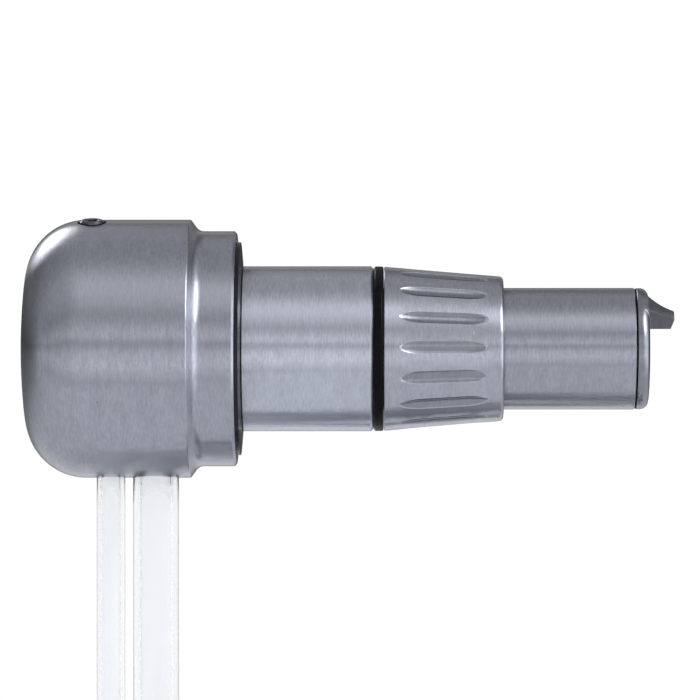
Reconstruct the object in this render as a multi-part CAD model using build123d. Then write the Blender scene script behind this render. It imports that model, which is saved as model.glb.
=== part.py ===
from build123d import *
import math
import os

# Straight air handpiece: a bell-shaped head that takes two hoses from below, a barrel that
# swivels in it, a sprung twist-lock collar and a nose with a hooked lock ring.
# Millimetres. +X runs along the handpiece towards the nose, +Z is up.
# The origin is on the axis, at the middle of the head's cylinder.
# Outlines of turned pieces are lists of (x, radius). Polar angles run from the top towards -Y.

# ---- clearances ----
SEAT = 0.02
RUN = 0.05

# ---- head cover ----
HEAD_R = 17.2
CROWN_R = 83.0
CROWN_X = -15.26
SHOULDER_R = 8.0
STEP_X = 7.25
STEP_FOOT_X = 8.37
LIP_R = 15.67
LIP_X = 13.37
CAVITY_R = 14.4
CAVITY_X = -12.2
CAVITY_ROUND = 5.5

# ---- manifold, swivel stem and hose ports ----
MANIFOLD_X = (-9.5, 8.0)
MANIFOLD_R = CAVITY_R - RUN
STEM_BORE_R = 6.0
STEM_R = STEM_BORE_R - RUN
STEM_REAR_X = -11.6
FLANGE_REAR_X = 8.45
FLANGE_R = 14.2
FLANGE_EDGE_X = 13.9
O_RING_WIRE = 0.55
STEM_O_RINGS_X = (-6.9, -0.83, 6.4)
STEM_O_RING_R = 5.41
O_RING_GROOVE = {"half_width": 0.7, "depth": 1.12}
STEM_CLIP_X = (-10.7, -10.1)
STEM_CLIP_R = (5.32, 7.2)
DUST_SEAL_X = 10.9
DUST_SEAL_R = 13.85
DUST_SEAL_WIRE = 0.5
AIRWAY_FRONT_X = 14.0
GALLERY_R = (5.2, 7.8)
CHANNEL_DEPTH_R = 4.2
PORT_FLOOR = 10.0
PORT_SHANK = 7.6
SUPPLY_X = -3.45
EXHAUST_X = 2.55
SUPPLY = {"outer": 1.9, "inner": 1.2, "shank": 1.5, "port": 1.0, "channel": 1.45}
EXHAUST = {"outer": 3.05, "inner": 2.0, "shank": 2.5, "port": 1.9, "channel": 2.2}
SUPPLY_AIRWAY = {
    "polar": 0,
    "distance": 3.15,
    "radius": 0.85,
    "from_x": SUPPLY_X - 0.8,
    "x": SUPPLY_X,
    "crossing_x": 13.3,
    "spokes": (0.7, 0.7),
    "gallery_x": 12.5,
    "span": 100,
}
EXHAUST_AIRWAY = {
    "polar": 180,
    "distance": 2.8,
    "radius": 1.2,
    "from_x": EXHAUST_X - 1.5,
    "x": EXHAUST_X,
    "crossing_x": 12.6,
    "spokes": (1.1, 1.0),
    "gallery_x": 11.4,
    "span": 40,
}
BARB_END = 15.2
BARB_RISE = 0.15

# ---- set screw ----
SCREW_X = -5.75
SCREW_POLAR = 13.0
SCREW_HOLE_R = 1.93
SCREW_R = 1.62
SCREW_TOP = HEAD_R + 0.3
SCREW_LENGTH = 8.0
HEX_SIZE = 1.5

# ---- barrel ----
BARREL_R = 11.0
BARREL_X = (14.17, 31.63)
BARREL_BORE_R = 9.0
SHOULDER_X = 30.0
RING_SEAT_R = 9.9
RING_SEAT_X = 32.87
RING_FRONT_X = 32.91
RING_R = 10.98

# ---- nose ----
NOSE_R = 8.1
NOSE_BORE_R = 7.2
NOSE_X = (SHOULDER_X, 66.28)

# ---- turbine and bearings, both bearings 4 x 9 x 4 ----
BEARING_BORE_R = 2.0
BEARING_OUTER_R = 4.5
BEARING_WIDTH = 4.0
BALL_R = 0.79
BALL_COUNT = 7
PITCH_R = 3.25
RACE_GROOVE_R = BALL_R + 0.03
LAND_INNER_R = 2.65
LAND_OUTER_R = 3.85
REAR_BEARING_X = 17.4
FRONT_BEARING_X = 58.3
STEM_FRONT_X = 17.0
NOZZLE_FRONT_X = 22.0
WHEEL_X = (22.6, 26.6)
WHEEL_HUB_R = 5.4
WHEEL_R = 8.2
BLADE_COUNT = 15
LINER_FRONT_X = 27.6
QUILL_R = 6.1
QUILL_X = 64.5
SHAFT_R = BEARING_BORE_R - SEAT
SHAFT_X = (15.2, 62.3)
DRIVE_HEAD_X = 65.8
DRIVE_HEAD_R = 2.8
SOCKET_R = 1.2
SOCKET_X = 59.2
SOCKET_PILOT_R = 1.0
SOCKET_PILOT_X = 57.6
DRIVE_PIN_X = 58.2
DRIVE_PIN_R = 0.45

# ---- twist lock ----
COLLAR_X = (32.97, 48.83)
COLLAR_REAR_R = 10.93
COLLAR_FRONT_R = 9.6
COLLAR_ROOM_R = 9.2
COLLAR_ROOM_X = 39.4
FLUTES = 16
FLUTE_PHASE = 1.1
FLUTE_MIDDLE_X = 40.97
FLUTE_STRAIGHT = 5.6
FLUTE_CUTTER_R = 1.6
FLUTE_TIP = 5.08
FLUTE_DEPTH = 0.33
SLEEVE_R = NOSE_BORE_R - RUN
SLEEVE_BORE_R = QUILL_R + RUN
SLEEVE_X = (38.0, 66.5)
KEY_X = 41.0
KEY_R = 1.0
KEY_TOP = 9.05
LOCK_TURN = 45.0
CIRCLIP_X = (47.5, 48.1)
LOCK_RING_R = 8.07
LOCK_RING_BORE_R = 5.1
LOCK_RING_X = (66.5, 68.08)
LOCK_SEAL_R = 8.0
LUG_TIP_X = 71.32
LUG_TIP_R = 7.17
LUG_POLAR = (25.0, 75.0)
LUG_SIDE_Y = 6.0
LUG_BOTTOM_Z = 2.6
SPRING_WIRE_R = 0.3
SPRING_MEAN_R = 8.65
SPRING_X = (34.0, 38.4)
SPRING_PITCH = 0.8

# ---- hoses: they hang to a surface, and what is left over is coiled and strapped there ----
SURFACE_Z = -95.0
TIE_THICKNESS = 0.7
TIE_WIDTH = 8.0
EXHAUST_PITCH = 6.2
EXHAUST_LAYERS = 2
SUPPLY_PITCH = 3.9
SUPPLY_LAYERS = 4
EXHAUST_COIL_R = (22.2, 40.8)
SUPPLY_COIL_R = (19.0, 26.8)
COIL_X = EXHAUST_X + EXHAUST_COIL_R[1]
COIL_Y = 41.0
EXHAUST_COIL_Z = SURFACE_Z + TIE_THICKNESS
SUPPLY_COIL_Z = EXHAUST_COIL_Z + EXHAUST_LAYERS * EXHAUST_PITCH
COILS_TOP_Z = SUPPLY_COIL_Z + SUPPLY_LAYERS * SUPPLY_PITCH
EXHAUST_LAYER_Z = EXHAUST_COIL_Z + EXHAUST_PITCH / 2
SUPPLY_LAYER_Z = SUPPLY_COIL_Z + SUPPLY_PITCH / 2

EXHAUST_ROUTE = [
    (EXHAUST_X, 0.0, -PORT_FLOOR),
    (EXHAUST_X, 0.0, -48.2),
    (EXHAUST_X, 3.5, -67.9),
    (EXHAUST_X, 14.4, -83.3),
    (EXHAUST_X, 31.6, EXHAUST_LAYER_Z),
    (EXHAUST_X, 50.0, EXHAUST_LAYER_Z),
]
SUPPLY_ROUTE = [
    (SUPPLY_X, 0.0, -PORT_FLOOR),
    (SUPPLY_X, 0.0, -47.5),
    (-3.6, 2.6, -62.5),
    (-3.8, 10.6, -73.6),
    (-3.6, 22.6, SUPPLY_LAYER_Z + 0.1),
    (-1.0, 36.5, SUPPLY_LAYER_Z + 0.1),
    (6.8, 49.6, SUPPLY_LAYER_Z + 0.1),
    (18.6, 60.6, SUPPLY_LAYER_Z + 0.1),
    (33.4, 67.1, SUPPLY_LAYER_Z),
    (49.0, 67.0, SUPPLY_LAYER_Z),
]
PLUG_Y = COIL_Y + 21.0
PLUG_Z = COILS_TOP_Z + 4.1
SILENCER_X = COIL_X + 36.5
SILENCER_Z = SUPPLY_COIL_Z + 5.3
EXHAUST_TAIL = [
    (COIL_X + 1.0, COIL_Y + 40.6, EXHAUST_LAYER_Z + EXHAUST_PITCH),
    (COIL_X + 18.5, COIL_Y + 37.4, EXHAUST_LAYER_Z + EXHAUST_PITCH + 1.6),
    (COIL_X + 31.5, COIL_Y + 24.6, SUPPLY_COIL_Z + 3.6),
    (SILENCER_X, COIL_Y + 8.6, SILENCER_Z),
    (SILENCER_X, COIL_Y - 7.0, SILENCER_Z),
]
SUPPLY_TAIL = [
    (COIL_X - 26.7, COIL_Y + 1.0, COILS_TOP_Z - SUPPLY_PITCH / 2),
    (COIL_X - 23.9, COIL_Y + 12.2, COILS_TOP_Z - 0.6),
    (COIL_X - 15.2, COIL_Y + 19.6, COILS_TOP_Z + 2.2),
    (COIL_X - 4.2, PLUG_Y, PLUG_Z),
    (COIL_X + 7.0, PLUG_Y, PLUG_Z),
]


# ---------------------------------------------------------------- helpers
def turned(*outline):
    """Solid turned about X from its (x, radius) corners."""
    return revolve(make_face(Polyline(*outline, close=True)), Axis.X)


def tube_along_x(x_rear, x_front, inner, outer):
    return turned((x_rear, inner), (x_front, inner), (x_front, outer), (x_rear, outer))


def rod(x_rear, x_front, radius):
    return Pos((x_rear + x_front) / 2, 0, 0) * Rot(0, 90, 0) * Cylinder(radius, x_front - x_rear)


def drilling(x_rear, x_front, radius, height):
    """Cylinder along X, above the axis by height."""
    return Pos(0, 0, height) * rod(x_rear, x_front, radius)


def spoke(x, polar, low, high, radius):
    """Cylinder that points away from the axis, from distance low to high."""
    middle = (low + high) / 2
    return Pos(x, 0, 0) * Rot(polar, 0, 0) * Pos(0, 0, middle) * Cylinder(radius, high - low)


def o_ring(x, radius, wire):
    return Pos(x, 0, 0) * Rot(0, 90, 0) * Torus(radius, wire)


def rounded(face, corner, radius):
    return fillet(face.vertices().sort_by_distance(corner)[0], radius)


def bevelled(face, corner, size):
    return chamfer(face.vertices().sort_by_distance(corner)[0], size)


def split_ring(x_rear, x_front, inner, outer, gap, polar):
    """Spring ring with a gap at the given polar angle."""
    ring = tube_along_x(x_rear, x_front, inner, outer)
    slot = Pos((x_rear + x_front) / 2, 0, 0) * Rot(polar, 0, 0) * Pos(0, 0, outer)
    return ring - slot * Box(2 * (x_front - x_rear), gap, outer)


def crown_x(radius):
    return CROWN_X + CROWN_R - math.sqrt(CROWN_R**2 - radius**2)


# ---------------------------------------------------------------- head
def head_shell():
    crown = ThreePointArc((CROWN_X, 0), (crown_x(HEAD_R / 2), HEAD_R / 2), (crown_x(HEAD_R), HEAD_R))
    rest = Polyline(
        (crown_x(HEAD_R), HEAD_R),
        (STEP_X, HEAD_R),
        (STEP_FOOT_X, LIP_R),
        (LIP_X, LIP_R),
        (LIP_X, CAVITY_R),
        (CAVITY_X, CAVITY_R),
        (CAVITY_X, 0),
        (CROWN_X, 0),
    )
    face = make_face([crown, rest])
    face = rounded(face, (crown_x(HEAD_R), HEAD_R), SHOULDER_R)
    face = rounded(face, (STEP_X, HEAD_R), 0.3)
    face = rounded(face, (STEP_FOOT_X, LIP_R), 1.3)
    face = bevelled(face, (LIP_X, LIP_R), 0.3)
    face = bevelled(face, (LIP_X, CAVITY_R), 0.2)
    face = rounded(face, (CAVITY_X, CAVITY_R), CAVITY_ROUND)
    shell = revolve(face, Axis.X)
    shell -= spoke(SCREW_X, SCREW_POLAR, CAVITY_R - 2, HEAD_R + 2, SCREW_HOLE_R)
    shell -= spoke(SUPPLY_X, 180, CAVITY_R - 2, HEAD_R + 2, SUPPLY["outer"] + 0.1)
    shell -= spoke(EXHAUST_X, 180, CAVITY_R - 2, HEAD_R + 2, EXHAUST["outer"] + 0.1)
    return shell


def hose_port(x, hose):
    """Everything drilled for one hose, from the stem bore down to the outside."""
    cut = spoke(x, 180, STEM_BORE_R - 1, PORT_SHANK + 0.1, hose["port"])
    cut += spoke(x, 180, PORT_SHANK, PORT_FLOOR + 0.1, hose["shank"] + SEAT)
    cut += spoke(x, 180, PORT_FLOOR, MANIFOLD_R + 1, hose["outer"] + 0.1)
    return cut


def hose_manifold():
    rear, front = MANIFOLD_X
    face = make_face(Polyline(
        (rear, STEM_BORE_R),
        (front, STEM_BORE_R),
        (front, MANIFOLD_R),
        (rear, MANIFOLD_R),
        close=True,
    ))
    face = bevelled(face, (rear, MANIFOLD_R), 2.4)
    face = bevelled(face, (front, MANIFOLD_R), 0.4)
    face = bevelled(face, (rear, STEM_BORE_R), 0.3)
    face = bevelled(face, (front, STEM_BORE_R), 0.3)
    block = revolve(face, Axis.X)
    block -= hose_port(SUPPLY_X, SUPPLY)
    block -= hose_port(EXHAUST_X, EXHAUST)
    screw_floor = SCREW_TOP - SCREW_LENGTH - 0.2
    return block - spoke(SCREW_X, SCREW_POLAR, screw_floor, MANIFOLD_R + 1, SCREW_R + SEAT)


def set_screw():
    body = Cylinder(SCREW_R, SCREW_LENGTH)
    body = chamfer(body.edges().group_by(Axis.Z)[-1], 0.25)
    body = chamfer(body.edges().group_by(Axis.Z)[0], 0.45)
    socket = extrude(RegularPolygon(HEX_SIZE / 2, 6, major_radius=False), 2.2)
    body -= Pos(0, 0, SCREW_LENGTH / 2 - 2.0) * socket
    lead_in = Cone(HEX_SIZE / 2, HEX_SIZE / 2 + 0.2, 0.2)
    body -= Pos(0, 0, SCREW_LENGTH / 2 - 0.1) * lead_in
    place = Pos(SCREW_X, 0, 0) * Rot(SCREW_POLAR, 0, 0) * Pos(0, 0, SCREW_TOP - SCREW_LENGTH / 2)
    return place * body


def barb(x, hose):
    """Hose nipple, turned about Z and pointing down."""
    tail = hose["inner"] - 0.05
    ridge = hose["inner"] + BARB_RISE
    bore = hose["inner"] - 0.45
    outline = [(bore, -PORT_SHANK), (hose["shank"], -PORT_SHANK), (hose["shank"], -PORT_FLOOR)]
    outline.append((tail, -PORT_FLOOR))
    for step in range(3):
        top = PORT_FLOOR + 1.2 + 1.25 * step
        outline.append((tail, -top))
        outline.append((ridge, -top))
        outline.append((tail, -top - 1.1))
    outline.append((tail, -BARB_END))
    outline.append((bore, -BARB_END))
    profile = Plane.XZ * make_face(Polyline(*outline, close=True))
    return Pos(x, 0, 0) * revolve(profile, Axis.Z)


# ---------------------------------------------------------------- swivel
def stem_outline():
    """Half outline of the stem without its channels and grooves."""
    return [
        (STEM_REAR_X, 0),
        (STEM_REAR_X, STEM_R),
        (FLANGE_REAR_X, STEM_R),
        (FLANGE_REAR_X, FLANGE_R),
        (FLANGE_EDGE_X, FLANGE_R),
        (BARREL_X[0], BARREL_R + 0.05),
        (BARREL_X[0], BARREL_BORE_R - SEAT),
        (STEM_FRONT_X, BARREL_BORE_R - SEAT),
        (STEM_FRONT_X, 0),
    ]


def pocket(polar_from, polar_to, x_rear, x_front, inner, outer):
    """Part of a ring between two polar angles."""
    face = make_face(Polyline(
        (x_rear, inner),
        (x_front, inner),
        (x_front, outer),
        (x_rear, outer),
        close=True,
    ))
    return Rot(polar_from + 90, 0, 0) * revolve(face, Axis.X, polar_to - polar_from)


def swivel_stem():
    stem = turned(*stem_outline())
    stem = chamfer(stem.edges().group_by(Axis.X)[0], 0.4)
    half, depth = O_RING_GROOVE["half_width"], O_RING_GROOVE["depth"]
    for x in STEM_O_RINGS_X:
        stem -= tube_along_x(x - half, x + half, STEM_R - depth, STEM_R + 1)
    for x, hose in ((SUPPLY_X, SUPPLY), (EXHAUST_X, EXHAUST)):
        stem -= tube_along_x(x - hose["channel"], x + hose["channel"], CHANNEL_DEPTH_R, STEM_R + 1)
    rear, front = STEM_CLIP_X
    stem -= tube_along_x(rear - 0.05, front + 0.05, STEM_CLIP_R[0] - SEAT, STEM_R + 1)
    seal_floor = DUST_SEAL_R - DUST_SEAL_WIRE - 0.03
    stem -= tube_along_x(DUST_SEAL_X - 0.55, DUST_SEAL_X + 0.55, seal_floor, FLANGE_R + 1)
    for way in (SUPPLY_AIRWAY, EXHAUST_AIRWAY):
        polar, distance, radius = way["polar"], way["distance"], way["radius"]
        height = distance if polar == 0 else -distance
        gallery = way["gallery_x"]
        stem -= drilling(way["from_x"], AIRWAY_FRONT_X, radius, height)
        stem -= spoke(way["x"], polar, distance, STEM_R + 1, way["spokes"][0])
        stem -= spoke(way["crossing_x"], polar, distance, GALLERY_R[0] + 1.3, way["spokes"][1])
        low, high = polar - way["span"], polar + way["span"]
        stem -= pocket(low, high, gallery, STEM_FRONT_X + 0.1, *GALLERY_R)
    return stem - rod(15.0, STEM_FRONT_X + 0.1, 3.6)


def stem_o_rings():
    return Compound(children=[o_ring(x, STEM_O_RING_R, O_RING_WIRE) for x in STEM_O_RINGS_X])


def barrel():
    rear, front = BARREL_X
    face = make_face(Polyline(
        (rear, BARREL_BORE_R),
        (rear, BARREL_R),
        (front, BARREL_R),
        (front, RING_SEAT_R),
        (RING_SEAT_X, RING_SEAT_R),
        (RING_SEAT_X, NOSE_R + SEAT),
        (SHOULDER_X, NOSE_R + SEAT),
        (SHOULDER_X, BARREL_BORE_R),
        close=True,
    ))
    face = bevelled(face, (front, BARREL_R), 0.4)
    face = bevelled(face, (rear, BARREL_R), 0.15)
    return revolve(face, Axis.X)


def barrel_o_ring():
    """Ring squashed to fill its seat between the barrel and the collar."""
    rear = BARREL_X[1] + SEAT
    face = make_face(Polyline(
        (rear, RING_SEAT_R + SEAT),
        (RING_FRONT_X, RING_SEAT_R + SEAT),
        (RING_FRONT_X, RING_R),
        (rear, RING_R),
        close=True,
    ))
    face = fillet(face.vertices(), 0.3)
    return revolve(face, Axis.X)


def nozzle_ring():
    face = make_face(Polyline(
        (STEM_FRONT_X, BEARING_OUTER_R + SEAT),
        (REAR_BEARING_X + BEARING_WIDTH, BEARING_OUTER_R + SEAT),
        (REAR_BEARING_X + BEARING_WIDTH, 3.4),
        (NOZZLE_FRONT_X, 3.4),
        (NOZZLE_FRONT_X, BARREL_BORE_R - SEAT),
        (STEM_FRONT_X, BARREL_BORE_R - SEAT),
        close=True,
    ))
    ring = revolve(face, Axis.X)
    middle = (STEM_FRONT_X + NOZZLE_FRONT_X) / 2
    jet = Rot(0, 90, 0) * Cylinder(0.6, 14)
    for polar in (-60, 0, 60):
        ring -= Rot(polar, 0, 0) * Pos(middle, 0, 6.8) * Rot(0, 0, 35) * jet
    return ring - pocket(145, 215, STEM_FRONT_X - 0.1, NOZZLE_FRONT_X + 0.1, 5.6, 7.8)


def quill():
    """Fixed inner tube, clamped by its flange and carrying the front bearing."""
    seat = BEARING_OUTER_R + SEAT
    return turned(
        (LINER_FRONT_X, 3.0),
        (FRONT_BEARING_X, 3.0),
        (FRONT_BEARING_X, seat),
        (62.5, seat),
        (62.5, 5.0),
        (QUILL_X, 5.0),
        (QUILL_X, QUILL_R - 0.2),
        (QUILL_X - 0.2, QUILL_R),
        (SHOULDER_X, QUILL_R),
        (SHOULDER_X, BARREL_BORE_R - SEAT),
        (LINER_FRONT_X, BARREL_BORE_R - SEAT),
    )


def nose_sleeve():
    rear, front = NOSE_X
    face = make_face(Polyline(
        (rear, NOSE_BORE_R),
        (front, NOSE_BORE_R),
        (front, NOSE_R),
        (rear, NOSE_R),
        close=True,
    ))
    face = bevelled(face, (front, NOSE_R), 0.12)
    sleeve = revolve(face, Axis.X)
    sleeve -= tube_along_x(CIRCLIP_X[0] - SEAT, CIRCLIP_X[1] + SEAT, 7.73, NOSE_R + 1)
    half_slot = KEY_R + 0.08
    for polar in (0, 180):
        sleeve -= pocket(polar - 9, polar + LOCK_TURN + 9, KEY_X - half_slot, KEY_X + half_slot, 6.8, 8.6)
    return sleeve


def bearing_cap():
    cap = tube_along_x(62.52, QUILL_X, 2.95, 4.98)
    for polar in (90, 270):
        cap -= Rot(polar, 0, 0) * Pos(QUILL_X, 0, 4.0) * Box(1.2, 0.9, 1.2)
    return cap


# ---------------------------------------------------------------- bearings
def race(x, inner, outer):
    ring = tube_along_x(x, x + BEARING_WIDTH, inner, outer)
    return ring - o_ring(x + BEARING_WIDTH / 2, PITCH_R, RACE_GROOVE_R)


def ball_places(x):
    middle = x + BEARING_WIDTH / 2
    return [Rot(360 * n / BALL_COUNT, 0, 0) * Pos(middle, 0, PITCH_R) for n in range(BALL_COUNT)]


def balls(x):
    return Compound(children=[place * Sphere(BALL_R) for place in ball_places(x)])


def ball_cage(x):
    middle = x + BEARING_WIDTH / 2
    ring = tube_along_x(middle - 1.25, middle + 1.25, 2.95, 3.55)
    for place in ball_places(x):
        ring -= place * Sphere(BALL_R + 0.09)
    return ring


# ---------------------------------------------------------------- spindle
def spindle():
    shaft = rod(SHAFT_X[0], SHAFT_X[1], SHAFT_R)
    head_face = make_face(Polyline(
        (SHAFT_X[1], 0),
        (DRIVE_HEAD_X, 0),
        (DRIVE_HEAD_X, DRIVE_HEAD_R),
        (SHAFT_X[1] + 0.3, DRIVE_HEAD_R),
        (SHAFT_X[1], LAND_INNER_R - 0.1),
        close=True,
    ))
    head_face = bevelled(head_face, (DRIVE_HEAD_X, DRIVE_HEAD_R), 0.3)
    shaft += revolve(head_face, Axis.X)
    shaft -= rod(SOCKET_X, DRIVE_HEAD_X + 1, SOCKET_R)
    shaft -= rod(SOCKET_PILOT_X, SOCKET_X + 1, SOCKET_PILOT_R)
    return shaft - Pos(DRIVE_PIN_X, 0, 0) * Cylinder(DRIVE_PIN_R + SEAT, 2 * SHAFT_R + 1)


def drive_pin():
    return Pos(DRIVE_PIN_X, 0, 0) * Cylinder(DRIVE_PIN_R, 2 * SHAFT_R - 0.1)


def blade():
    """One bent turbine blade, standing on the hub at the top."""
    outer = Pos(0, -1.1, 0) * Cylinder(2.6, WHEEL_R - WHEEL_HUB_R + 0.4)
    inner = Pos(0, -1.1, 0) * Cylinder(2.15, WHEEL_R)
    crescent = (outer - inner) & Pos(0, 1.5, 0) * Box(3.4, 3, WHEEL_R)
    middle = (WHEEL_X[0] + WHEEL_X[1]) / 2
    return Pos(middle, 0, (WHEEL_HUB_R + WHEEL_R) / 2 - 0.2) * crescent


def turbine_wheel():
    bore = BEARING_BORE_R
    wheel = turned(
        (REAR_BEARING_X + BEARING_WIDTH, bore),
        (WHEEL_X[1], bore),
        (WHEEL_X[1], 3.2),
        (WHEEL_X[1] - 0.8, 3.6),
        (WHEEL_X[1] - 0.8, 4.7),
        (WHEEL_X[1], WHEEL_HUB_R),
        (WHEEL_X[0], WHEEL_HUB_R),
        (WHEEL_X[0], LAND_INNER_R),
        (REAR_BEARING_X + BEARING_WIDTH, LAND_INNER_R),
    )
    one = blade()
    for n in range(BLADE_COUNT):
        wheel += Rot(360 * n / BLADE_COUNT, 0, 0) * one
    return wheel


def spindle_nut():
    nut = rod(15.8, REAR_BEARING_X, 3.2) & Pos(16.6, 0, 0) * Rot(0, 90, 0) * extrude(
        RegularPolygon(2.8, 6, major_radius=False), 4, both=True
    )
    return nut - rod(15.0, 18.0, BEARING_BORE_R)


# ---------------------------------------------------------------- twist lock
def flute_cutter():
    wide = Rectangle(FLUTE_STRAIGHT, 2 * FLUTE_CUTTER_R)
    for side in (-1, 1):
        wide += Pos(side * FLUTE_STRAIGHT / 2, 0) * Ellipse(FLUTE_TIP, FLUTE_CUTTER_R)
    reach = FLUTE_STRAIGHT + 4 * FLUTE_TIP
    half = wide & Pos(0, FLUTE_CUTTER_R) * Rectangle(reach, 2 * FLUTE_CUTTER_R)
    return revolve(half, Axis.X)


def grip_collar():
    rear, front = COLLAR_X
    bore = NOSE_R + RUN
    face = make_face(Polyline(
        (rear, COLLAR_ROOM_R),
        (COLLAR_ROOM_X, COLLAR_ROOM_R),
        (COLLAR_ROOM_X, bore),
        (CIRCLIP_X[0] - 0.2, bore),
        (CIRCLIP_X[0] - 0.2, 8.8),
        (front, 8.8),
        (front, COLLAR_FRONT_R),
        (rear, COLLAR_REAR_R),
        close=True,
    ))
    face = rounded(face, (front, COLLAR_FRONT_R), 0.6)
    face = bevelled(face, (rear, COLLAR_REAR_R), 0.12)
    collar = revolve(face, Axis.X)
    slope = math.atan((COLLAR_REAR_R - COLLAR_FRONT_R) / (front - rear))
    surface_r = COLLAR_REAR_R - math.tan(slope) * (FLUTE_MIDDLE_X - rear)
    height = surface_r + FLUTE_CUTTER_R - FLUTE_DEPTH
    cutter = Pos(FLUTE_MIDDLE_X, 0, height) * Rot(0, math.degrees(slope), 0) * flute_cutter()
    for n in range(FLUTES):
        collar -= Rot(90 - FLUTE_PHASE + 360 * n / FLUTES, 0, 0) * cutter
    for polar in (0, 180):
        keyway = Rot(polar, 0, 0) * Pos(COLLAR_ROOM_X + 1.3, 0, KEY_TOP - 0.7)
        collar -= keyway * Box(2.8, 2 * KEY_R + 0.1, 1.6)
    return collar


def lock_sleeve():
    sleeve = tube_along_x(SLEEVE_X[0], SLEEVE_X[1], SLEEVE_BORE_R, SLEEVE_R)
    for polar in (0, 180):
        sleeve -= spoke(KEY_X, polar, SLEEVE_BORE_R - 1, SLEEVE_R + 1, KEY_R + SEAT)
    return sleeve


def lock_keys():
    keys = [spoke(KEY_X, polar, SLEEVE_BORE_R + 0.08, KEY_TOP, KEY_R) for polar in (0, 180)]
    return Compound(children=keys)


def lug():
    """Hook on the lock ring: its top sweeps up to a wide root and its outside dips towards the tip."""
    root = LOCK_RING_X[0] + 0.6
    root_r = LOCK_RING_R - 0.02
    dip = ThreePointArc((root, root_r), (69.3, 7.55), (LUG_TIP_X, LUG_TIP_R))
    rest = Polyline(
        (LUG_TIP_X, LUG_TIP_R),
        (LUG_TIP_X, LOCK_RING_BORE_R),
        (root, LOCK_RING_BORE_R),
        (root, root_r),
    )
    wall = revolve(make_face([dip, rest]), Axis.X, LUG_POLAR[1] - LUG_POLAR[0])
    sweep_top = ThreePointArc((67.6, 7.35), (69.5, 5.78), (LUG_TIP_X - 0.15, 5.0))
    side = Polyline(
        (LUG_TIP_X - 0.15, 5.0),
        (LUG_TIP_X, 4.8),
        (LUG_TIP_X, 3.75),
        (LUG_TIP_X - 0.5, LUG_BOTTOM_Z),
        (root, LUG_BOTTOM_Z),
        (root, 7.35),
        (67.6, 7.35),
    )
    outline = Plane.XZ * make_face([sweep_top, side])
    return (Rot(LUG_POLAR[0] + 90, 0, 0) * wall) & extrude(outline, LUG_SIDE_Y)


def lock_ring():
    rear, front = LOCK_RING_X
    face = make_face(Polyline(
        (64.8, 5.3),
        (rear, 5.3),
        (rear, LOCK_RING_BORE_R),
        (front, LOCK_RING_BORE_R),
        (front, LOCK_RING_R),
        (rear, LOCK_RING_R),
        (rear, SLEEVE_BORE_R - SEAT),
        (64.8, SLEEVE_BORE_R - SEAT),
        close=True,
    ))
    face = rounded(face, (front, LOCK_RING_R), 1.1)
    face = bevelled(face, (front, LOCK_RING_BORE_R), 0.2)
    return revolve(face, Axis.X) + lug()


def lock_seal():
    """Thin black ring with a pointed rim that fills the gap between the nose and the lock ring."""
    rear = NOSE_X[1] + SEAT
    front = LOCK_RING_X[0] - SEAT
    return turned(
        (rear, SLEEVE_R + SEAT),
        (front, SLEEVE_R + SEAT),
        (front, LOCK_SEAL_R - 0.15),
        ((rear + front) / 2, LOCK_SEAL_R),
        (rear, LOCK_SEAL_R - 0.15),
    )


def lock_spring():
    rear, front = SPRING_X
    path = Helix(SPRING_PITCH, front - rear, SPRING_MEAN_R, (rear, 0, 0), (1, 0, 0))
    section = Plane(origin=path @ 0, z_dir=path % 0) * Circle(SPRING_WIRE_R)
    return sweep(section, path=path, is_frenet=True)


# ---------------------------------------------------------------- hoses
def corner_radii(route):
    """Each corner's arc is as large as its two runs allow."""
    points = [Vector(*point) for point in route]
    radii = []
    for before, corner, after in zip(points, points[1:], points[2:]):
        arriving = corner - before
        leaving = after - corner
        half_turn = math.radians(arriving.get_angle(leaving)) / 2
        radii.append(0.45 * min(arriving.length, leaving.length) / math.tan(half_turn))
    return radii


def hose_tube(name, route, hose):
    radii = corner_radii(route)
    path = FilletPolyline(*route, radius=radii)
    section = Plane(origin=path @ 0, z_dir=path % 0) * (Circle(hose["outer"]) - Circle(hose["inner"]))
    solid = sweep(section, path=path)
    area = math.pi * (hose["outer"] ** 2 - hose["inner"] ** 2)
    print(name, "length", round(path.length, 1), "radii", [round(r, 1) for r in radii])
    print(name, "volume", round(solid.volume, 2), "expected", round(area * path.length, 2))
    return solid


def coil(bottom, top, radii, pitch):
    """Outer shape of a coil, a ring with eased edges."""
    inner = radii[0] - pitch / 2
    outer = radii[1] + pitch / 2
    height = top - bottom
    ring = Cylinder(outer, height) - Cylinder(inner, 2 * height)
    ring = fillet(ring.edges().filter_by(GeomType.CIRCLE), pitch * 0.35)
    return Pos(COIL_X, COIL_Y, (bottom + top) / 2) * ring


def coil_ties():
    """Two straps round both coils, each a closed loop on one side of the ring."""
    inner = SUPPLY_COIL_R[0] - SUPPLY_PITCH / 2 - 0.8
    outer = EXHAUST_COIL_R[1] + EXHAUST_PITCH / 2 + 0.1
    step_r = SUPPLY_COIL_R[1] + SUPPLY_PITCH / 2 + 0.1
    loop = Polyline(
        (inner, EXHAUST_COIL_Z - 0.05),
        (outer, EXHAUST_COIL_Z - 0.05),
        (outer, SUPPLY_COIL_Z + 0.2),
        (step_r, COILS_TOP_Z + 0.2),
        (inner, COILS_TOP_Z + 0.2),
        close=True,
    )
    inside = make_face(loop)
    strap = offset(inside, TIE_THICKNESS - 0.1, kind=Kind.ARC) - inside
    solid = extrude(Plane.XZ * strap, TIE_WIDTH / 2, both=True)
    straps = [Pos(COIL_X, COIL_Y, 0) * Rot(0, 0, angle) * solid for angle in (-75, -135)]
    return Compound(children=straps)


def turned_piece(outline, place):
    """Turned fitting, drawn along X from x = 0 and then placed."""
    return place * turned(*outline)


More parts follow.
